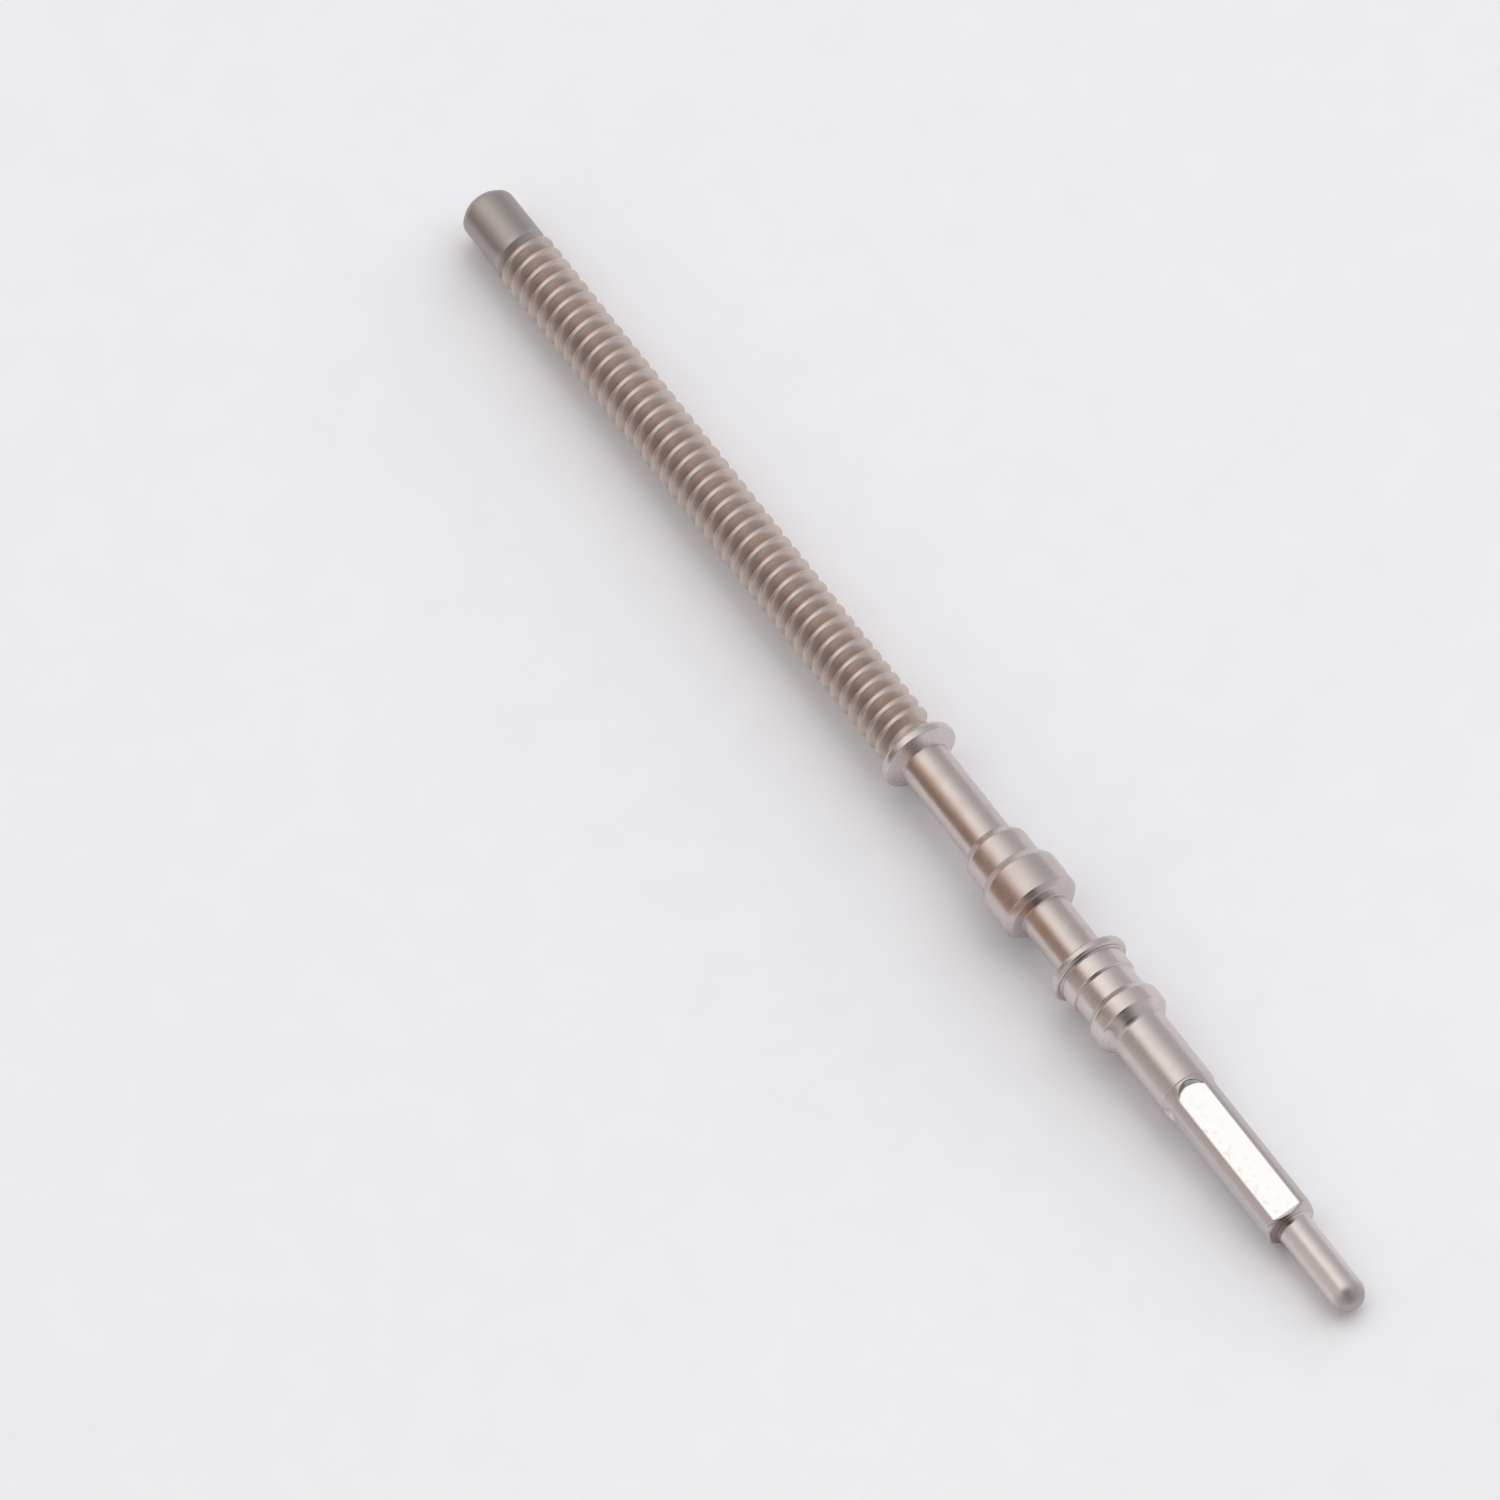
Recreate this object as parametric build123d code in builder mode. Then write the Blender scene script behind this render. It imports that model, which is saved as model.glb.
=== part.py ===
from build123d import *
import math
import os

# Watch winding stem, in millimetres: one slim steel bar, turned, threaded and milled.
# It lies along X. The crown screws on at the -X end and the pilot is the +X end.
# The origin is on the axis, in the middle of the hub's bearing land.
# Each turned section is a solid of its own, and sections meet face to face at their shoulders.

# Crown end: a plain lead, the thread, and the relief that the thread runs out into
lead_d = 0.83
lead_len = 0.90
lead_chamfer = 0.12
thread_d = 0.90
thread_pitch = 0.225
thread_depth = 0.135
thread_crest = 0.068
thread_len = 9.94
relief_len = 0.10

# Collar that ends the thread, and the slim shank behind it
collar_d = 1.15
collar_len = 0.255
collar_chamfer = 0.08
shank_d = 0.72
shank_len = 1.605

# Hub: a smaller step, then the bearing land that turns in the main plate, each behind a short cone
step_d = 0.95
step_cone_len = 0.155
step_len = 0.395
hub_d = 1.16
hub_cone_len = 0.16
hub_land_len = 0.56
hub_chamfer = 0.06

# Slot where the setting lever's stud sits
slot_d = 0.72
slot_len = 0.98

# Rings between the slot and the winding pinion
flange_d = 1.18
flange_len = 0.14
flange_chamfer = 0.04
ring_d = 1.00
ring_len = 0.31
ring_chamfer = 0.03
land_d = 0.915
land_len = 0.33
shoulder_d = 1.09
shoulder_cone_len = 0.12
shoulder_len = 0.32
shoulder_chamfer = 0.06

# Round seat of the winding pinion
journal_d = 0.83
journal_len = 1.20
journal_chamfer = 0.03

# Square for the sliding clutch: four flats milled into a round bar
square_bar_d = 0.82
square_flats = 0.69
square_len = 2.51
square_chamfer = 0.10
square_margin = 0.08
runout_angle = 45
cutter_share = 1.07

# Pilot that turns in the main plate's inner hole
pilot_d = 0.50
pilot_len = 1.46
pilot_chamfer = 0.12

# How far a cutting shape runs past what it cuts
overrun = 0.2

# Stations on the axis, worked out in both directions from the middle of the hub's land
hub_land_x = -hub_land_len / 2
hub_x = hub_land_x - hub_cone_len
step_x = hub_x - step_len - step_cone_len
shank_x = step_x - shank_len
collar_x = shank_x - collar_len
relief_x = collar_x - relief_len
thread_x = relief_x - thread_len
lead_x = thread_x - lead_len
slot_x = hub_land_x + hub_land_len + hub_chamfer
flange_x = slot_x + slot_len
ring_x = flange_x + flange_len
land_x = ring_x + ring_len
shoulder_x = land_x + land_len
journal_x = shoulder_x + shoulder_cone_len + shoulder_len
square_x = journal_x + journal_len
pilot_x = square_x + square_len


def turned(start_x, length, diameter):
    """A plain turned section of the bar, from start_x towards the pilot."""
    with BuildSketch(Plane.YZ.offset(start_x)) as profile:
        Circle(diameter / 2)
    extrude(profile.sketch, amount=length)


def coned(start_x, length, start_d, end_d):
    """A turned cone that widens towards the pilot."""
    with Locations((start_x, 0, 0)):
        foot = (Align.CENTER, Align.CENTER, Align.MIN)
        Cone(start_d / 2, end_d / 2, length, rotation=(0, 90, 0), align=foot)


def rim(part, end):
    """The outer edge at one end of a turned section: 0 on the crown side, -1 on the pilot side."""
    circles = part.edges().filter_by(GeomType.CIRCLE)
    return circles.group_by(Axis.X)[end].sort_by(SortBy.RADIUS)[-1]


# Thread lead: plain, a little under the thread's diameter, chamfered to enter the crown
with BuildPart() as thread_lead:
    turned(lead_x, lead_len, lead_d)
    chamfer(rim(thread_lead, 0), length=lead_chamfer)
thread_lead.part.label = "thread_lead"

# Crown thread: a true right-hand helix, sewn from one set of ruled strips a turn
root_r = thread_d / 2 - thread_depth
crest_r = thread_d / 2
flank_rise = (thread_pitch - thread_crest) / 2
crest_end = flank_rise + thread_crest
# One tooth along the axis: how far along it each helix starts, and its radius
tooth = ((0, root_r), (flank_rise, crest_r), (crest_end, crest_r), (thread_pitch, root_r))
# The helix starts more than a turn early and ends late, and is then cut square to length
helix_x = thread_x - thread_pitch - flank_rise
turns = math.ceil((relief_x - helix_x) / thread_pitch) + 1


def one_turn(along, radius):
    """One turn of a helix about the stem's axis, which starts above the axis at this place."""
    return Edge.make_helix(thread_pitch, thread_pitch, radius, center=(along, 0, 0), normal=(1, 0, 0))


def thread_strips(along):
    """The two flanks and the crest of one turn."""
    strips = []
    for (low, low_r), (high, high_r) in zip(tooth, tooth[1:]):
        lower = one_turn(along + low, low_r)
        upper = one_turn(along + high, high_r)
        strips.append(Face.make_surface_from_curves(lower, upper))
    return strips


def thread_end(along):
    """What closes the helix at one end: the tooth's own section, and a ramp from the axis to the root."""
    outline = [one_turn(along + place, radius) @ 0 for place, radius in tooth]
    foot = Vector(along, 0, 0)
    head = Vector(along + thread_pitch, 0, 0)
    section = Face(Wire.make_polygon([foot, *outline, head], close=True))
    ramp = Face.make_surface_from_curves(Edge.make_line(foot, head), one_turn(along, root_r))
    return [section, ramp]


thread_faces = thread_end(helix_x) + thread_end(helix_x + turns * thread_pitch)
for turn in range(turns):
    thread_faces += thread_strips(helix_x + turn * thread_pitch)
long_thread = Solid(Shell(thread_faces))

with BuildPart() as crown_thread:
    add(long_thread)
    split(bisect_by=Plane.YZ.offset(thread_x), keep=Keep.TOP)
    split(bisect_by=Plane.YZ.offset(relief_x), keep=Keep.BOTTOM)
crown_thread.part.label = "crown_thread"

# Thread collar, with the relief groove that the thread runs out into
with BuildPart() as thread_collar:
    turned(collar_x, collar_len, collar_d)
    chamfer(rim(thread_collar, 0), length=collar_chamfer)
    chamfer(rim(thread_collar, -1), length=collar_chamfer)
    turned(relief_x, relief_len, 2 * root_r)
thread_collar.part.label = "thread_collar"

# Shank: the slim neck between the collar and the hub
with BuildPart() as shank:
    turned(shank_x, shank_len, shank_d)
shank.part.label = "shank"

# Hub step: the smaller diameter on the crown side of the hub, which a cone leads up to
with BuildPart() as hub_step:
    coned(step_x, step_cone_len, shank_d, step_d)
    turned(step_x + step_cone_len, step_len, step_d)
hub_step.part.label = "hub_step"

# Plate hub: the bearing land that turns in the main plate, and the cone that leads up to it
with BuildPart() as plate_hub:
    turned(hub_land_x, hub_land_len + hub_chamfer, hub_d)
    chamfer(rim(plate_hub, -1), length=hub_chamfer)
    coned(hub_x, hub_cone_len, step_d, hub_d)
plate_hub.part.label = "plate_hub"

# Lever slot: the neck between the hub and the flange, where the setting lever engages
with BuildPart() as lever_slot:
    turned(slot_x, slot_len, slot_d)
lever_slot.part.label = "lever_slot"

# Slot flange: the thin disc that closes the slot on the pilot side
with BuildPart() as slot_flange:
    turned(flange_x, flange_len, flange_d)
    chamfer(rim(slot_flange, 0), length=flange_chamfer)
    chamfer(rim(slot_flange, -1), length=flange_chamfer)
slot_flange.part.label = "slot_flange"

# Stop ring: the first step behind the flange
with BuildPart() as stop_ring:
    turned(ring_x, ring_len, ring_d)
    chamfer(rim(stop_ring, -1), length=ring_chamfer)
stop_ring.part.label = "stop_ring"

# Guide land: the slightly smaller step behind the ring
with BuildPart() as guide_land:
    turned(land_x, land_len, land_d)
guide_land.part.label = "guide_land"

# Pinion shoulder: a cone, then the rim that the winding pinion's face runs against
with BuildPart() as pinion_shoulder:
    turned(shoulder_x + shoulder_cone_len, shoulder_len, shoulder_d)
    chamfer(rim(pinion_shoulder, -1), length=shoulder_chamfer)
    coned(shoulder_x, shoulder_cone_len, land_d, shoulder_d)
pinion_shoulder.part.label = "pinion_shoulder"

# Pinion journal: the round seat of the winding pinion
with BuildPart() as pinion_journal:
    turned(journal_x, journal_len, journal_d)
    chamfer(rim(pinion_journal, -1), length=journal_chamfer)
pinion_journal.part.label = "pinion_journal"

# Clutch square: each flat ends towards the journal in the round run-out of its cutter
bar_r = square_bar_d / 2
flat_depth = bar_r - square_flats / 2
flat_half_width = math.sqrt(bar_r**2 - (square_flats / 2) ** 2)
cutter_r = cutter_share * flat_half_width
cutter_x = square_x + square_margin + cutter_r
flat_length = square_len - square_margin - cutter_r + overrun
with BuildPart() as clutch_square:
    turned(square_x, square_len, square_bar_d)
    chamfer(rim(clutch_square, -1), length=square_chamfer)
    for side in range(4):
        outward = Vector(0, 0, 1).rotate(Axis.X, 90 * side)
        flat = Plane(origin=(cutter_x, 0, 0), x_dir=(1, 0, 0), z_dir=outward)
        with BuildSketch(flat.offset(square_flats / 2)):
            Circle(cutter_r)
            Rectangle(flat_length, 2 * cutter_r, align=(Align.MIN, Align.CENTER))
        extrude(amount=flat_depth + overrun, taper=-runout_angle, mode=Mode.SUBTRACT)
clutch_square.part.label = "clutch_square"

# Pilot: the slim end that turns in the main plate's inner hole
with BuildPart() as pilot:
    turned(pilot_x, pilot_len, pilot_d)
    chamfer(rim(pilot, -1), length=pilot_chamfer)
pilot.part.label = "pilot"

sections = (
    thread_lead,
    crown_thread,
    thread_collar,
    shank,
    hub_step,
    plate_hub,
    lever_slot,
    slot_flange,
    stop_ring,
    guide_land,
    pinion_shoulder,
    pinion_journal,
    clutch_square,
    pilot,
)
os.makedirs("parts", exist_ok=True)
for section in sections:
    export_step(section.part, f"parts/{section.part.label}.step")
    size = section.part.bounding_box()
    print(f"{section.part.label:16} x {size.min.X:8.3f} to {size.max.X:7.3f}  volume {section.part.volume:.4f}")
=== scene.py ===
import math

import bmesh
import bpy
from mathutils import Matrix, Vector


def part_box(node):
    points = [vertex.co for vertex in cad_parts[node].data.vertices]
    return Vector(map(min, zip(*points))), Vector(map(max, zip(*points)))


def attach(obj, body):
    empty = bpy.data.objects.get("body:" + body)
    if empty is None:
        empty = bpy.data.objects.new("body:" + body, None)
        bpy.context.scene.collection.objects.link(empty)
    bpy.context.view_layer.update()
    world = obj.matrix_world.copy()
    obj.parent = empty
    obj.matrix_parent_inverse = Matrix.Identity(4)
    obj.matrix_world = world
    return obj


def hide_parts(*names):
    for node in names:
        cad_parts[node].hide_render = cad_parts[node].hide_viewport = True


# Looks of a watch winding stem, in the frame of its CAD model: +X runs from the crown end to the pilot.
# Each piece is modelled on the bench in millimetres, because tiny edge breaks are lost to rounding at
# life size, and is brought down to metres when it is finished.

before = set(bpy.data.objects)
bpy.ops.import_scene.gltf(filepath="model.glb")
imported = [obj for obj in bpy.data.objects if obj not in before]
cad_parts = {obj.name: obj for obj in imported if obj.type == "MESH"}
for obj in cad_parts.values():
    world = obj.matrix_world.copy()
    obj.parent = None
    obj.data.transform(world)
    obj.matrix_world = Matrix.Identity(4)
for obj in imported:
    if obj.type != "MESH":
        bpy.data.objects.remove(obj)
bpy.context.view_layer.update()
bpy.ops.object.select_all(action="DESELECT")

BENCH = 1000  # bench millimetres in a metre
TURN = 2 * math.pi


# ---------------------------------------------------------------- sizes from the CAD model

def span(node):
    """Where a section starts and ends along the stem, and its radius, in millimetres."""
    low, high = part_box(node)
    return low[0] * BENCH, high[0] * BENCH, (high[2] - low[2]) / 2 * BENCH


lead_x, thread_x, lead_r = span("thread_lead")
_, relief_x, crest_r = span("crown_thread")
_, shank_x, collar_r = span("thread_collar")
_, step_x, shank_r = span("shank")
_, hub_x, step_r = span("hub_step")
_, slot_x, hub_r = span("plate_hub")
_, flange_x, slot_r = span("lever_slot")
_, ring_x, flange_r = span("slot_flange")
_, land_x, ring_r = span("stop_ring")
_, shoulder_x, land_r = span("guide_land")
_, journal_x, shoulder_r = span("pinion_shoulder")
_, square_x, journal_r = span("pinion_journal")
_, pilot_x, bar_r = span("clutch_square")
_, tip_x, pilot_r = span("pilot")

# What a box doesn't say: the thread's form, the relief, the cones and the square's flats
pitch = crest_r / 2
thread_depth = 0.6 * pitch
root_r = crest_r - thread_depth
CREST_WIDTH = 0.068
RELIEF_LEN = 0.10
LEAD_CHAMFER = 0.12
STEP_CONE = 0.155
HUB_CONE = 0.16
SHOULDER_CONE = 0.12
SQUARE_CHAMFER = 0.10
FLAT_LEVEL = 0.345
CUTTER_MARGIN = 0.08
flat_half_width = math.sqrt(bar_r**2 - FLAT_LEVEL**2)
cutter_r = 1.07 * flat_half_width
cutter_x = square_x + CUTTER_MARGIN + cutter_r

# How many steps go round a shape, and how near two vertices are joined
TURNED_STEPS = 144
SCREW_STEPS = 56
SQUARE_STEPS = 360
JOINED_WITHIN = 2e-5


# ---------------------------------------------------------------- how finishes are written

def sum_of(finish, operation, *terms):
    """One step of maths on links and plain numbers, in their order."""
    return finish.node("ShaderNodeMath", dict(enumerate(terms)), operation=operation)


class Link:
    """A value on its way through a finish, so that sums on it read as plain maths."""

    def __init__(self, finish, socket):
        self.finish = finish
        self.socket = socket

    def maths(self, operation, *others):
        return sum_of(self.finish, operation, self, *others)

    def __add__(self, other):
        return self.maths("ADD", other)

    def __sub__(self, other):
        return self.maths("SUBTRACT", other)

    def __mul__(self, other):
        return self.maths("MULTIPLY", other)

    def __pow__(self, other):
        return self.maths("POWER", other)

    def __radd__(self, other):
        return self.maths("ADD", other)

    def __rsub__(self, other):
        return sum_of(self.finish, "SUBTRACT", other, self)

    def rise(self, start, end):
        """0 below start and 1 above end, with soft shoulders; start may be the higher of the two."""
        low, high = sorted((start, end))
        at_low, at_high = (1, 0) if start > end else (0, 1)
        inputs = {"Value": self, "From Min": low, "From Max": high, "To Min": at_low, "To Max": at_high}
        return self.finish.node("ShaderNodeMapRange", inputs, interpolation_type="SMOOTHSTEP")


class Finish:
    """The nodes of one material or of the world."""

    def __init__(self, owner):
        owner.use_nodes = True
        self.tree = owner.node_tree
        self.tree.nodes.clear()

    def node(self, kind, inputs=None, output=0, **settings):
        """Adds a node, sets it up, feeds its sockets and hands back one of its outputs."""
        made = self.tree.nodes.new(kind)
        for name, value in settings.items():
            setattr(made, name, value)
        for name, value in (inputs or {}).items():
            if isinstance(value, Link):
                self.tree.links.new(value.socket, made.inputs[name])
            else:
                made.inputs[name].default_value = value
        return Link(self, made.outputs[output])

    def mix(self, share, first, second):
        """A colour between two colours."""
        inputs = {0: share, 6: colour(first), 7: colour(second)}
        return self.node("ShaderNodeMix", inputs, output=2, data_type="RGBA")

    def millimetres(self):
        """Object coordinates in millimetres."""
        place = self.node("ShaderNodeTexCoord", output="Object")
        return self.stretch(place, (BENCH, BENCH, BENCH))

    def stretch(self, place, scale):
        return self.node("ShaderNodeMapping", {"Vector": place, "Scale": scale})

    def split(self, vector):
        return [self.node("ShaderNodeSeparateXYZ", {0: vector}, output=axis) for axis in range(3)]

    def noise(self, place, scale, detail=2.0, roughness=0.5):
        inputs = {"Vector": place, "Scale": scale, "Detail": detail, "Roughness": roughness}
        return self.node("ShaderNodeTexNoise", inputs)

    def bump(self, height, strength, distance):
        inputs = {"Height": height, "Strength": strength, "Distance": distance}
        return self.node("ShaderNodeBump", inputs)

    def close(self, shader, kind="ShaderNodeOutputMaterial"):
        made = self.tree.nodes.new(kind)
        self.tree.links.new(shader.socket, made.inputs["Surface"])


def colour(value):
    """Three numbers become a colour; a link passes as it is."""
    return value if isinstance(value, Link) else (*value, 1.0)


# ---------------------------------------------------------------- steel finishes

LEAD_TONE = (0.44, 0.395, 0.385)
# The colour of the painted reflection along one side
WARM_REFLECTION_TONE = (0.58, 0.27, 0.15)
# The colour of the painted shade in the corner at the pilot
CORNER_SHADE_TONE = (0.20, 0.155, 0.135)
TIP_TONE = (0.44, 0.40, 0.39)
SHADED_THREAD_TONE = (0.38, 0.31, 0.27)
# The run-out's painted light on its upper half and painted shade on its lower half
LIT_RUNOUT_TONE = (0.86, 0.80, 0.78)
SHADED_RUNOUT_TONE = (0.36, 0.28, 0.24)
# The flats' near-white tone, a painted highlight
FLAT_HIGHLIGHT_TONE = (0.94, 0.945, 0.96)
RING_MARKS = (44, 1.0, 1.0)  # how noise is stretched into the fine rings of turning
MARK_HEIGHT = 0.0000012
THREAD_MARK_HEIGHT = 0.0000016


def scaled(tone, red, green=None, blue=None):
    """A tone, with its three parts made lighter or darker, but no lighter than white."""
    factors = (red, green or red, blue or red)
    return [min(1, part * factor) for part, factor in zip(tone, factors)]


def turned_down(y, z):
    """The angle round the stem in radians, from straight up towards the side away from the window."""
    return (y * -1).maths("ARCTAN2", z)


def corner_shade(x, y):
    """Painted shade: darker in the corner between the square and the pilot, on the lower side."""
    before = x.rise(pilot_x - 0.075, pilot_x - 0.04)
    behind = x.rise(pilot_x + 0.075, pilot_x + 0.03)
    return before * behind * y.rise(0.05, -0.08) * 0.85


def turned_steel(name, tone, stain, roughness, side_reflection=0.0):
    """Bare steel off the lathe: fine rings around it, slow bands along it, faint stains, painted shade
    in the corner at the pilot, and a painted reflection along one side where asked.
    """
    material = bpy.data.materials.new(name)
    finish = Finish(material)
    place = finish.millimetres()
    x, y, z = finish.split(place)
    rings = finish.noise(finish.stretch(place, RING_MARKS), 1.0, detail=3)
    bands = finish.noise(finish.stretch(place, (7, 0.7, 0.7)), 1.0)
    stains = finish.noise(place, 3.5, detail=4, roughness=0.6)
    specks = finish.noise(place, 38, detail=2)
    dull = stains.rise(0.46, 0.66)
    fine = (rings - 0.5) * 0.5 + (bands - 0.5) * 0.5
    shade = finish.mix(dull * 0.5, tone, stain)
    worn = finish.mix((fine + 0.5).rise(0.2, 0.8), scaled(tone, 0.93), scaled(tone, 1.06))
    base = finish.mix(0.5, shade, worn)
    if side_reflection:
        # A painted reflection: an orange-brown band along the side turned away from the window, where
        # the steel mirrors something dark and warm
        around = turned_down(y, z)
        patch = finish.noise(finish.stretch(place, (1.2, 2.2, 2.2)), 1.0, detail=3)
        band = around.rise(0.10, 0.50) * around.rise(1.02, 0.66)
        reflected_band = band * (0.45 + patch.rise(0.35, 0.7) * 0.55)
        base = finish.mix(reflected_band * side_reflection, base, WARM_REFLECTION_TONE)
    # Painted shade, dark brown, in the corner at the pilot's root on the lower side
    base = finish.mix(corner_shade(x, y), base, CORNER_SHADE_TONE)
    # The pilot's tip is darker and duller
    tip = x.rise(tip_x - 0.30, tip_x - 0.06)
    base = finish.mix(tip * 0.7, base, TIP_TONE)
    rough = roughness + fine * 0.10 + dull * 0.05 + specks.rise(0.62, 0.75) * 0.05 + tip * 0.22
    height = rings * 0.8 + specks * 0.2
    shader = finish.node("ShaderNodeBsdfPrincipled", {
        "Base Color": base,
        "Metallic": 1.0,
        "Roughness": rough,
        "Normal": finish.bump(height, 0.12, MARK_HEIGHT),
    })
    finish.close(shader)
    return material


def thread_steel(name, crest_tone, root_tone, roughness):
    """The cut thread: one tone on the crests and another down the flanks and in the groove, which is
    duller.
    """
    material = bpy.data.materials.new(name)
    finish = Finish(material)
    place = finish.millimetres()
    x, y, z = finish.split(place)
    radius = (y * y + z * z) ** 0.5
    depth = radius.rise(crest_r - 0.015, root_r + 0.03)
    stains = finish.noise(place, 2.6, detail=4, roughness=0.6)
    grains = finish.noise(place, 26, detail=3)
    drawn = finish.noise(finish.stretch(place, (60, 3, 3)), 1.0, detail=2)
    groove_share = depth * (0.75 + (stains - 0.5) * 0.8) + (grains - 0.5) * 0.16
    base = finish.mix(groove_share, crest_tone, root_tone)
    base = finish.mix(stains.rise(0.5, 0.7) * 0.3, base, scaled(crest_tone, 0.8))
    # Painted shade: the side away from the window is darkened brown
    around = turned_down(y, z)
    shaded = around.rise(0.0, 0.5) * around.rise(1.5, 1.05)
    base = finish.mix(shaded * 0.31, base, SHADED_THREAD_TONE)
    # The first turns are as dull as the lead
    base = finish.mix(x.rise(thread_x + 0.45, thread_x - 0.05), base, LEAD_TONE)
    shader = finish.node("ShaderNodeBsdfPrincipled", {
        "Base Color": base,
        "Metallic": 1.0,
        "Roughness": roughness + depth * 0.14 + (grains - 0.5) * 0.12,
        "Normal": finish.bump(drawn * 0.6 + grains * 0.4, 0.3, THREAD_MARK_HEIGHT),
    })
    finish.close(shader)
    return material


def flat_steel(name, tone, land_tone, roughness):
    """The square: milled flats with marks along them, painted near white as a painted highlight, and
    turned lands left between.
    """
    material = bpy.data.materials.new(name)
    finish = Finish(material)
    place = finish.millimetres()
    x, y, z = finish.split(place)
    radius = (y * y + z * z) ** 0.5
    level = y.maths("ABSOLUTE").maths("MAXIMUM", z.maths("ABSOLUTE"))
    inside = radius.rise(bar_r - 0.004, bar_r - 0.012)
    flat = inside * level.rise(FLAT_LEVEL + 0.012, FLAT_LEVEL + 0.004)
    land = 1 - flat * x.rise(pilot_x - 0.085, pilot_x - SQUARE_CHAMFER)
    milled = finish.noise(finish.stretch(place, (1.6, 46, 46)), 1.0, detail=3)
    ringed = finish.noise(finish.stretch(place, RING_MARKS), 1.0, detail=3)
    specks = finish.noise(place, 9, detail=3)
    rubbed = specks.rise(0.50, 0.68) * (0.2 + (y * -1).rise(-0.02, 0.2) * 0.8)
    flat_base = finish.mix(rubbed, tone, scaled(tone, 0.92, 0.84, 0.81))
    base = finish.mix(land, flat_base, land_tone)
    # The cutter's run-out is duller, with painted light on its upper half and painted brown shade on its
    # lower half
    wall = radius.rise(bar_r - 0.004, bar_r - 0.010) * level.rise(FLAT_LEVEL + 0.004, FLAT_LEVEL + 0.010)
    wall = wall * x.rise(cutter_x + 0.02, cutter_x - 0.02)
    lower_half = y.rise(0.04, -0.06) * y.rise(-0.30, -0.24)
    wall_tone = finish.mix(lower_half, LIT_RUNOUT_TONE, SHADED_RUNOUT_TONE)
    base = finish.mix(wall, base, wall_tone)
    # Painted shade, dark brown, in the corner at the pilot's root on the lower side
    base = finish.mix(corner_shade(x, y), base, CORNER_SHADE_TONE)
    worn = specks.rise(0.55, 0.7) * 0.04
    rough = roughness + (milled - 0.5) * 0.10 + land * 0.06 + worn + wall * 0.25
    marks = milled * (1 - land) + ringed * land
    shader = finish.node("ShaderNodeBsdfPrincipled", {
        "Base Color": base,
        "Metallic": 1.0,
        "Roughness": rough,
        "Normal": finish.bump(marks, 0.14, MARK_HEIGHT),
    })
    finish.close(shader)
    return material


# Each finish: its name, its tone, the tone of its stains or hollows, its roughness, and any painted
# reflection along one side
lead_finish = thread_steel("lead_steel", LEAD_TONE, (0.38, 0.335, 0.325), 0.42)
# Painted light: the flanks and groove are given a lighter tone than the crests, which lifts their shade
# and dims the crests' highlight
thread_finish = thread_steel("thread_steel", (0.68, 0.59, 0.545), (0.76, 0.65, 0.585), 0.40)
warm_finish = turned_steel("burnished_steel", (0.64, 0.57, 0.55), (0.57, 0.49, 0.46), 0.28, 0.45)
hub_finish = turned_steel("hub_steel", (0.62, 0.555, 0.54), (0.55, 0.475, 0.45), 0.27, 0.8)
ring_finish = turned_steel("ring_steel", (0.69, 0.62, 0.605), (0.62, 0.545, 0.52), 0.24, 0.08)
grey_finish = turned_steel("turned_steel", (0.66, 0.595, 0.585), (0.60, 0.53, 0.515), 0.27)
# The flats' near-white tone is a painted highlight, so that they come out blown white
square_finish = flat_steel("milled_steel", FLAT_HIGHLIGHT_TONE, (0.60, 0.54, 0.535), 0.20)
pilot_finish = turned_steel("pilot_steel", (0.71, 0.65, 0.64), (0.62, 0.56, 0.545), 0.30)


# ---------------------------------------------------------------- bench work

def hang(place):
    """One vertex at a place, selected in edit mode, ready to be drawn out into a line."""
    bpy.ops.object.select_all(action="DESELECT")
    bpy.ops.mesh.primitive_plane_add(size=1, location=(0, 0, 0))
    bpy.ops.object.mode_set(mode="EDIT")
    bpy.ops.mesh.select_all(action="SELECT")
    bpy.ops.mesh.merge(type="CENTER")
    bpy.ops.transform.translate(value=place)
    return bpy.context.object


def draw_line(points):
    """Draws an outline beside the stem's axis, point by point, then rounds the corners that ask for it.

    A point is its place along the stem, its distance from the axis and, if it is rounded, by how much.
    """
    piece = hang((points[0][0], points[0][1], 0))
    for (x, r, *_), (next_x, next_r, *_) in zip(points, points[1:]):
        step = (next_x - x, next_r - r, 0)
        bpy.ops.mesh.extrude_region_move(TRANSFORM_OT_translate={"value": step})
    for x, r, *rounding in points:
        if rounding:
            pick_corner(piece, x, r)
            bpy.ops.mesh.bevel(offset=rounding[0], segments=5, affect="VERTICES", clamp_overlap=True)
    return piece


def pick_corner(piece, x, r):
    """Selects, in edit mode, the outline's vertex at one place, and nothing else."""
    bpy.ops.mesh.select_mode(type="VERT")
    bpy.ops.mesh.select_all(action="DESELECT")
    mesh = bmesh.from_edit_mesh(piece.data)
    for vertex in mesh.verts:
        if abs(vertex.co.x - x) < 1e-5 and abs(vertex.co.y - r) < 1e-5:
            vertex.select_set(True)
    mesh.select_flush_mode()
    bmesh.update_edit_mesh(piece.data)


def close_up(piece):
    """Joins the seam and the poles and turns every face outwards."""
    bpy.ops.mesh.select_mode(type="VERT")
    bpy.ops.mesh.select_all(action="SELECT")
    bpy.ops.mesh.remove_doubles(threshold=JOINED_WITHIN)
    bpy.ops.mesh.normals_make_consistent(inside=False)
    bpy.ops.object.mode_set(mode="OBJECT")


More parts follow.
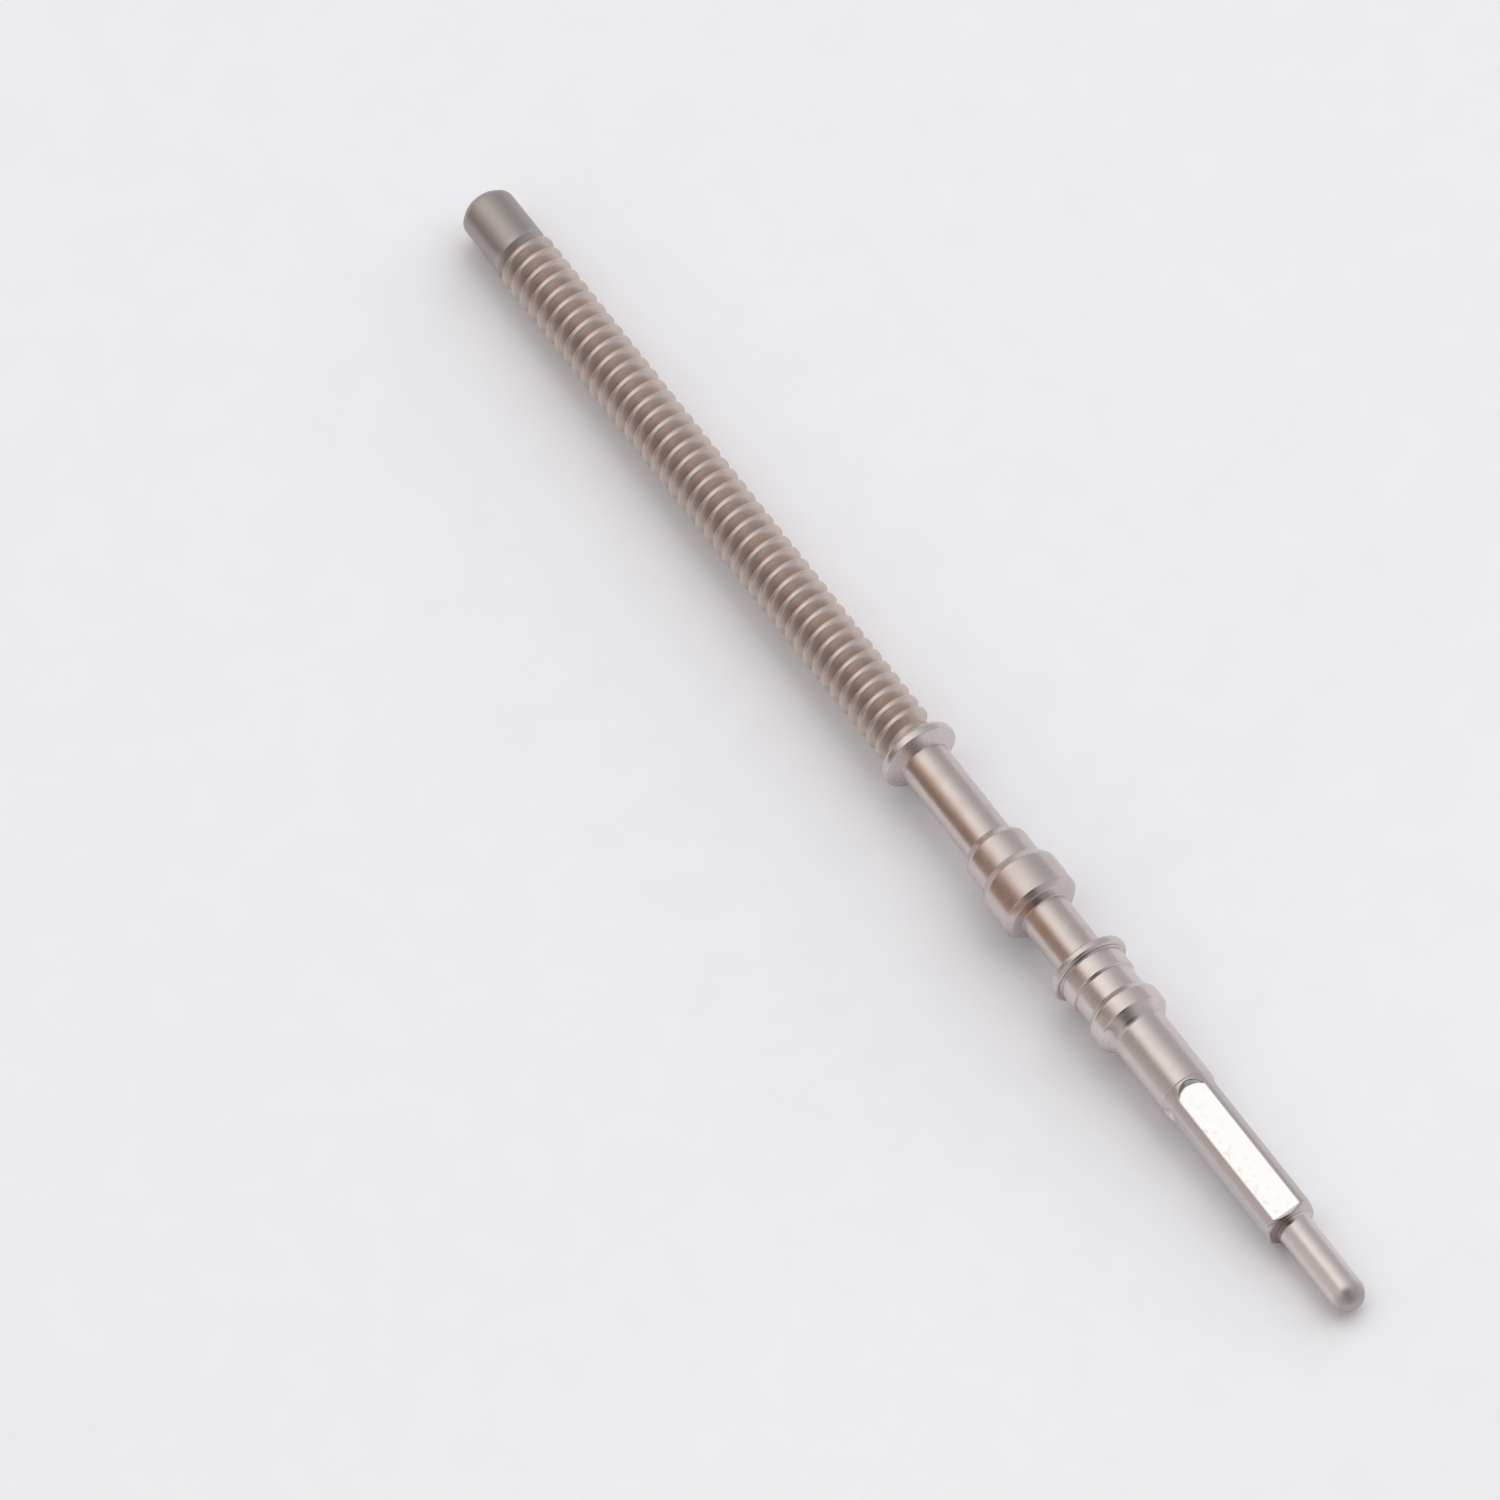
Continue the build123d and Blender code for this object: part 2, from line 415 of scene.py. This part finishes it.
def finish_piece(piece, name, node, material, smooth):
    """Brings a bench piece down to life size, dresses it, and lets it stand for its CAD section.

    Edges sharper than smooth, in degrees, stay sharp.
    """
    bpy.ops.object.select_all(action="DESELECT")
    bpy.context.view_layer.objects.active = piece
    piece.select_set(True)
    bpy.ops.object.shade_smooth_by_angle(angle=math.radians(smooth))
    # Long straight runs keep their own normals, and only the small rounding faces bend theirs
    weigh = piece.modifiers.new("weigh", "WEIGHTED_NORMAL")
    weigh.mode = "FACE_AREA"
    weigh.weight = 60
    weigh.keep_sharp = True
    bpy.ops.object.modifier_apply(modifier="weigh")
    piece.data.transform(Matrix.Scale(1 / BENCH, 4))
    piece.name = name
    piece.data.name = name
    piece.data.materials.clear()
    piece.data.materials.append(material)
    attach(piece, "root")
    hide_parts(node)
    piece.select_set(False)


def turn(node, points, material, smooth=35):
    """A turned section: its outline, spun round the stem's axis."""
    piece = draw_line(points)
    bpy.ops.mesh.select_all(action="SELECT")
    bpy.ops.mesh.spin(steps=TURNED_STEPS, angle=TURN, center=(0, 0, 0), axis=(1, 0, 0))
    close_up(piece)
    finish_piece(piece, node + "_turned", node, material, smooth)


# A root fillet of size 1, as steps away from the corner along the stem and outwards
FILLET = ((0, 1), (0.12, 0.55), (0.55, 0.12), (1, 0))


def plain(start, end, radius, crown_end=0.0, pilot_end=0.0, crown_root=0.0, pilot_root=0.0):
    """Outline of a plain length: a rounded edge or a root fillet at either end, given by its size."""

    def corner(x, inward, edge, root):
        if root:
            return [(x + inward * root * away, radius + root * out) for away, out in FILLET]
        return [(x, radius, edge)] if edge else [(x, radius)]

    crown_corner = corner(start, 1, crown_end, crown_root)
    pilot_corner = corner(end, -1, pilot_end, pilot_root)
    return [(start, 0), *crown_corner, *reversed(pilot_corner), (end, 0)]


# ---------------------------------------------------------------- crown end

turn("thread_lead", [
    (lead_x, 0),
    (lead_x, lead_r - LEAD_CHAMFER, 0.03),
    (lead_x + LEAD_CHAMFER, lead_r, 0.05),
    (thread_x, lead_r),
    (thread_x, 0),
], lead_finish)


def cut_thread():
    """The crown thread: one tooth, screwed along the stem, with its first and last turns run out."""
    flank = (pitch - CREST_WIDTH) / 2
    middle = (root_r + crest_r) / 2
    # The tooth starts and ends half way down a flank, so that its rounded root and crest are whole
    tooth = [
        (-flank / 2, middle),
        (0, root_r, 0.010),
        (flank, crest_r, 0.014),
        (flank + CREST_WIDTH, crest_r, 0.014),
        (pitch - flank / 2, middle),
    ]
    piece = draw_line([(x + thread_x - 1.5 * pitch, r, *rounding) for x, r, *rounding in tooth])
    bpy.ops.object.mode_set(mode="OBJECT")
    screw = piece.modifiers.new("screw", "SCREW")
    screw.axis = "X"
    screw.angle = TURN
    screw.screw_offset = pitch
    screw.iterations = math.ceil((relief_x - thread_x) / pitch) + 3
    screw.steps = screw.render_steps = SCREW_STEPS
    screw.use_merge_vertices = False
    bpy.ops.object.modifier_apply(modifier="screw")
    bpy.ops.object.mode_set(mode="EDIT")
    bpy.ops.mesh.select_all(action="SELECT")
    bpy.ops.mesh.remove_doubles(threshold=JOINED_WITHIN)
    for end, spare in ((thread_x, "clear_inner"), (relief_x, "clear_outer")):
        bpy.ops.mesh.select_all(action="SELECT")
        cut = {"plane_co": (end, 0, 0), "plane_no": (1, 0, 0), spare: True}
        bpy.ops.mesh.bisect(**cut, use_fill=True, threshold=1e-6)
    close_up(piece)
    # The die starts shallow on the lead's side and lifts before the relief
    for vertex in piece.data.vertices:
        x, y, z = vertex.co
        r = math.hypot(y, z)
        if r < 1e-6:
            continue
        entry = smooth_step((x - thread_x) / (1.3 * pitch))
        lift = smooth_step((relief_x - x) / (0.7 * pitch))
        highest = min(lead_r + (crest_r - lead_r) * entry, root_r + (crest_r - root_r) * lift)
        lowest = lead_r - (lead_r - root_r) * entry
        new_r = min(max(r, lowest), highest)
        vertex.co.y *= new_r / r
        vertex.co.z *= new_r / r
    finish_piece(piece, "crown_thread_cut", "crown_thread", thread_finish, 50)


def smooth_step(share):
    """0 up to 0 and 1 from 1 on, with soft shoulders between."""
    share = min(max(share, 0), 1)
    return share * share * (3 - 2 * share)


cut_thread()

relief_end = relief_x + RELIEF_LEN
# The collar's face leans a little from its rim to its root
turn("thread_collar", [
    (relief_x, 0),
    (relief_x, root_r),
    (relief_end, root_r, 0.02),
    (relief_end, collar_r, 0.09),
    (shank_x - 0.09, collar_r, 0.015),
    (shank_x, shank_r + 0.015),
    (shank_x, 0),
], grey_finish, smooth=20)


# ---------------------------------------------------------------- neck, hub and slot

turn("shank", plain(shank_x, step_x, shank_r, crown_root=0.012), warm_finish)
turn("hub_step", [
    (step_x, 0),
    (step_x, shank_r),
    (step_x + STEP_CONE, step_r, 0.03),
    (hub_x, step_r),
    (hub_x, 0),
], warm_finish)
# The hub's edge is broken at 45 degrees, and its face leans a little from there to its root
turn("plate_hub", [
    (hub_x, 0),
    (hub_x, step_r),
    (hub_x + HUB_CONE, hub_r, 0.03),
    (slot_x - 0.115, hub_r, 0.02),
    (slot_x - 0.040, hub_r - 0.075, 0.02),
    (slot_x, slot_r + 0.012),
    (slot_x, 0),
], hub_finish, smooth=14)
turn("lever_slot", plain(slot_x, flange_x, slot_r, crown_root=0.012, pilot_root=0.03), warm_finish)


# ---------------------------------------------------------------- rings behind the slot

turn("slot_flange", plain(flange_x, ring_x, flange_r, crown_end=0.05, pilot_end=0.05), grey_finish)
turn("stop_ring", plain(ring_x, land_x, ring_r, pilot_end=0.035, crown_root=0.012), ring_finish)
turn("guide_land", plain(land_x, shoulder_x, land_r, crown_root=0.012), ring_finish)
# The shoulder's broken edge runs on into the journal's fillet, as one slope
slope_r = shoulder_r - 0.075
turn("pinion_shoulder", [
    (shoulder_x, 0),
    (shoulder_x, land_r),
    (shoulder_x + SHOULDER_CONE, shoulder_r, 0.03),
    (journal_x - 0.085, shoulder_r, 0.02),
    (journal_x, slope_r),
    (journal_x, 0),
], ring_finish)
turn("pinion_journal", [
    (journal_x, 0),
    (journal_x, slope_r),
    (journal_x + 0.030, shoulder_r - 0.101),
    (journal_x + 0.060, journal_r + 0.013),
    (journal_x + 0.095, journal_r + 0.002),
    (journal_x + 0.115, journal_r),
    (square_x, journal_r, 0.015),
    (square_x, 0),
], grey_finish)


# ---------------------------------------------------------------- square and pilot

RUNOUT_SLOPE = math.tan(math.radians(56))
SQUARE_EDGE_BREAK = 0.004


def mill_square():
    """The square: a turned bar, with close stations where a flat runs out, then milled down."""
    chamfer = SQUARE_CHAMFER
    stations = [(square_x, 0), (square_x, bar_r)]
    x = square_x + 0.02
    while x < cutter_x - 0.02:
        stations.append((x, bar_r))
        x += 0.012
    stations += [(x + share * (pilot_x - chamfer - 0.02 - x), bar_r) for share in (0, 0.35, 0.7, 1)]
    # The chamfer at the pilot's end starts softly
    for step in range(1, 9):
        share = step / 8
        stations.append((pilot_x - chamfer - 0.01 + share * chamfer, bar_r - chamfer * share**1.5))
    edge_r = bar_r - chamfer
    stations += [(pilot_x - 0.003, edge_r - 0.003), (pilot_x, edge_r - 0.008), (pilot_x, 0)]
    piece = draw_line(stations)
    bpy.ops.mesh.select_all(action="SELECT")
    bpy.ops.mesh.spin(steps=SQUARE_STEPS, angle=TURN, center=(0, 0, 0), axis=(1, 0, 0))
    close_up(piece)
    edge = math.degrees(math.acos(FLAT_LEVEL / bar_r))
    whole = round(edge)
    for vertex in piece.data.vertices:
        x, y, z = vertex.co
        r = math.hypot(y, z)
        on_end_face = x > pilot_x - 1e-4 or x < square_x + 1e-4
        if r < 0.05 or on_end_face:
            continue
        # Steps of a degree are shifted a little, so that one falls on each flat's edge
        heading = math.degrees(math.atan2(y, z))
        angle = heading % 90
        if angle <= whole:
            new_angle = angle * edge / whole
        elif angle <= 90 - whole:
            new_angle = edge + (angle - whole) * (90 - 2 * edge) / (90 - 2 * whole)
        else:
            new_angle = 90 - (90 - angle) * edge / whole
        side = min(new_angle, 90 - new_angle)
        cut_r = milled_radius(x, math.radians(side))
        new_r = soft_least(r, cut_r, SQUARE_EDGE_BREAK)
        turned = math.radians(heading - angle + new_angle)
        vertex.co.y = new_r * math.sin(turned)
        vertex.co.z = new_r * math.cos(turned)
    finish_piece(piece, "clutch_square_milled", "clutch_square", square_finish, 60)


def milled_radius(x, side):
    """How far from the axis the cutter leaves metal, at a place and an angle from a flat's middle."""
    # The run-out's height depends on the radius looked for, so it is approached in steps
    r = FLAT_LEVEL / math.cos(side)
    for _ in range(24):
        off = math.hypot(min(x - cutter_x, 0), r * math.sin(side)) - cutter_r
        ahead = max(off, 0) if x < cutter_x else 0
        level = FLAT_LEVEL + ahead * RUNOUT_SLOPE
        r = r + 0.5 * (level / math.cos(side) - r)
    return r


def soft_least(first, second, blend):
    """The smaller of two radii, with the edge between them broken by a little."""
    gap = max(blend - abs(first - second), 0) / blend
    return min(first, second) - gap * gap * blend / 4


mill_square()
turn("pilot", [
    (pilot_x, 0),
    (pilot_x, pilot_r + 0.045),
    (pilot_x + 0.010, pilot_r + 0.025),
    (pilot_x + 0.035, pilot_r + 0.008),
    (pilot_x + 0.075, pilot_r),
    (tip_x - 0.19, pilot_r, 0.06),
    (tip_x - 0.07, pilot_r - 0.065, 0.05),
    (tip_x, pilot_r - 0.155, 0.04),
    (tip_x, 0),
], pilot_finish)


# ---------------------------------------------------------------- camera

# The direction from the stem back to the camera: partly along it, and turned a little away from +Z
TOWARD_PILOT = 0.458
FLAT_TURN = math.radians(9)
ACROSS = math.sqrt(1 - TOWARD_PILOT**2)
CAMERA_BACK = Vector((TOWARD_PILOT, -ACROSS * math.sin(FLAT_TURN), ACROSS * math.cos(FLAT_TURN)))
SENSOR_WIDTH = 36


def look():
    """The photograph's view: from above, with the pilot end nearer."""
    distance = 161  # millimetres from the mark, a point on the stem's axis
    mark = Vector((-4.16, 0, 0))
    picture = 1500
    focal = 11750  # in pixels of the picture, as are the two numbers below
    mark_pixel = (861.1, 681.9)
    fall = math.radians(51.546)  # how steeply the axis falls to the right there
    across, up = mark_pixel[0] - picture / 2, picture / 2 - mark_pixel[1]
    ray = Vector((across / focal, up / focal, -1)).normalized()
    run = Vector((math.cos(fall), -math.sin(fall), 0))
    run = (run - ray * run.dot(ray)).normalized()
    along = (Vector((1, 0, 0)) - CAMERA_BACK * CAMERA_BACK.x).normalized()
    # The camera is turned so that the stem's axis falls across the picture as it does in the photograph
    seen = Matrix((ray, run, ray.cross(run))).transposed()
    real = Matrix((-CAMERA_BACK, along, (-CAMERA_BACK).cross(along))).transposed()
    rotation = (real @ seen.transposed()).to_4x4()
    place = (mark + distance * CAMERA_BACK) / BENCH
    data = bpy.data.cameras.new("camera")
    data.sensor_fit = "HORIZONTAL"
    data.sensor_width = SENSOR_WIDTH
    data.lens = focal / picture * SENSOR_WIDTH
    data.clip_start = 0.01
    data.clip_end = 20
    camera = bpy.data.objects.new("camera", data)
    camera.matrix_world = Matrix.Translation(place) @ rotation
    bpy.context.scene.collection.objects.link(camera)
    bpy.context.scene.camera = camera


look()


# ---------------------------------------------------------------- floor, light and surroundings

SHEET_HALF = 600
BEND_START, BEND_LENGTH, BEND_RISE = 0.3, 9, 0.37
collar_mid = relief_end + 0.05
sheet_slope = (crest_r - collar_r) / (collar_mid - thread_x)


def sheet_height(x):
    """The sheet carries the first full crest and the collar, and bends up towards the pilot."""
    flat_part = -collar_r + sheet_slope * (min(x, BEND_START) - collar_mid)
    return flat_part + BEND_RISE * smooth_step((x - BEND_START) / BEND_LENGTH)


def lay_floor():
    """A pale sheet of paper under the stem."""
    bend = [BEND_START + BEND_LENGTH * step / 24 for step in range(25)]
    stations = [-SHEET_HALF, thread_x, *bend, SHEET_HALF]
    bpy.ops.mesh.primitive_grid_add(x_subdivisions=len(stations) - 1, y_subdivisions=1, size=2)
    floor = bpy.context.object
    floor.name = "floor"
    for vertex in floor.data.vertices:
        x = stations[round((vertex.co.x + 1) / 2 * (len(stations) - 1))]
        vertex.co = Vector((x, vertex.co.y * SHEET_HALF, sheet_height(x))) / BENCH
    bpy.ops.object.shade_smooth()
    material = bpy.data.materials.new("pale_paper")
    finish = Finish(material)
    place = finish.millimetres()
    grain = finish.node("ShaderNodeTexVoronoi", {"Vector": place, "Scale": 2.2}, feature="SMOOTH_F1")
    slow = finish.noise(place, 1.4, detail=4)
    tone = finish.mix(slow.rise(0.3, 0.7), (0.862, 0.858, 0.888), (0.878, 0.874, 0.902))
    paper = finish.node("ShaderNodeBsdfPrincipled", {
        "Base Color": tone,
        "Roughness": 0.8,
        "Specular IOR Level": 0.2,
        "Normal": finish.bump(grain + slow * 0.8, 0.05, 0.00006),
    })
    finish.close(paper)
    floor.data.materials.append(material)


lay_floor()


def hang_lamp(name, toward, side, distance, strength, tone):
    """A square lamp in some direction from the stem, facing it; side and distance are in metres."""
    toward = Vector(toward).normalized()
    data = bpy.data.lights.new(name, "AREA")
    data.shape = "RECTANGLE"
    data.size = data.size_y = side
    data.color = tone
    # A lamp's radiance is its power over its area and pi
    data.energy = strength * math.pi * side * side
    lamp = bpy.data.objects.new(name, data)
    facing = toward.to_track_quat("Z", "X").to_matrix().to_4x4()
    lamp.matrix_world = Matrix.Translation(toward * distance) @ facing
    # The polished steel mirrors the room and not this lamp, which has a hard outline
    lamp.visible_glossy = False
    bpy.context.scene.collection.objects.link(lamp)


WINDOW = (-0.10, 0.72, 0.66)
hang_lamp("window_lamp", WINDOW, side=0.8, distance=0.6, strength=1.38, tone=(0.97, 0.985, 1.0))


HEAD_EDGE, HEAD_CORE = math.radians(31), math.radians(15)  # from the direction of the camera
FIGURE_TONE = (0.05, 0.045, 0.05)


def light_room():
    """The room: bright overhead, and greyer to both sides and beyond the pilot."""
    world = bpy.data.worlds.new("room")
    bpy.context.scene.world = world
    finish = Finish(world)
    place = finish.node("ShaderNodeTexCoord", output="Generated")
    x, y, z = finish.split(place)
    # Degrees around the stem, from straight up towards the window
    around = y.maths("ARCTAN2", z) * (180 / math.pi)
    level = finish.mix(around.rise(60, -12), (0.55, 0.55, 0.56), (1.20, 1.175, 1.12))
    level = finish.mix(around.rise(-10, -50), level, (0.68, 0.645, 0.625))
    # The thread's flanks mirror the room low beyond the pilot, which is darker away from the window
    horizon = finish.mix(y.rise(-0.12, 0.12), (0.22, 0.20, 0.195), (0.60, 0.57, 0.56))
    far = finish.mix(z.rise(0.04, 0.26), horizon, (0.58, 0.57, 0.58))
    level = finish.mix(x.rise(-0.05, 0.30), level, far)
    # Whoever takes the photograph stands at the pilot's end, and inner corners mirror that dark shape
    vectors = {0: place, 1: CAMERA_BACK}
    toward_camera = finish.node("ShaderNodeVectorMath", vectors, output="Value", operation="DOT_PRODUCT")
    head = toward_camera.rise(math.cos(HEAD_EDGE), math.cos(HEAD_CORE))
    width = x.rise(0.30, 0.55) * y.rise(-0.48, -0.14) * y.rise(0.36, 0.06)
    body = width * z.rise(0.22, 0.38) * z.rise(0.64, 0.50)
    level = finish.mix(1 - (1 - head) * (1 - body), level, FIGURE_TONE)
    light = finish.node("ShaderNodeBackground", {"Color": level, "Strength": 1.0})
    finish.close(light, "ShaderNodeOutputWorld")


CARD_X, CARD_Y, CARD_Z = (-70, -4), -18, (-0.6, 75)
CARD_TONE = (0.29, 0.235, 0.20)


def stand_card():
    """A dark warm shape with soft edges low beside the stem, which only the steel mirrors."""
    bpy.ops.mesh.primitive_plane_add(size=1, location=(0, 0, 0))
    card = bpy.context.object
    card.name = "warm_card"
    corners = [(x, CARD_Y, z) for z in CARD_Z for x in CARD_X]
    for vertex, corner in zip(card.data.vertices, corners):
        vertex.co = Vector(corner) / BENCH
    material = bpy.data.materials.new("warm_card")
    finish = Finish(material)
    x, _, z = finish.split(finish.millimetres())
    # Low all along, higher towards the pilot's end, and half as dark above that
    low = z.rise(18, 6.5)
    post = x.rise(-17, -10.5) * z.rise(46, 20)
    upper = x.rise(-15.5, -12.0) * x.rise(-3, -6) * z.rise(16, 22) * z.rise(62, 46) * 0.5
    dark = x.rise(-4.5, -9.2) * (1 - (1 - post) * (1 - low))
    dark = dark.maths("MAXIMUM", upper)
    shade = finish.node("ShaderNodeEmission", {"Color": colour(CARD_TONE), "Strength": 1.0})
    clear = finish.node("ShaderNodeBsdfTransparent")
    finish.close(finish.node("ShaderNodeMixShader", {0: dark, 1: clear, 2: shade}))
    card.data.materials.append(material)
    for sight in ("camera", "diffuse", "transmission", "volume_scatter", "shadow"):
        setattr(card, "visible_" + sight, False)


stand_card()
light_room()
bpy.context.scene.view_settings.view_transform = "Standard"
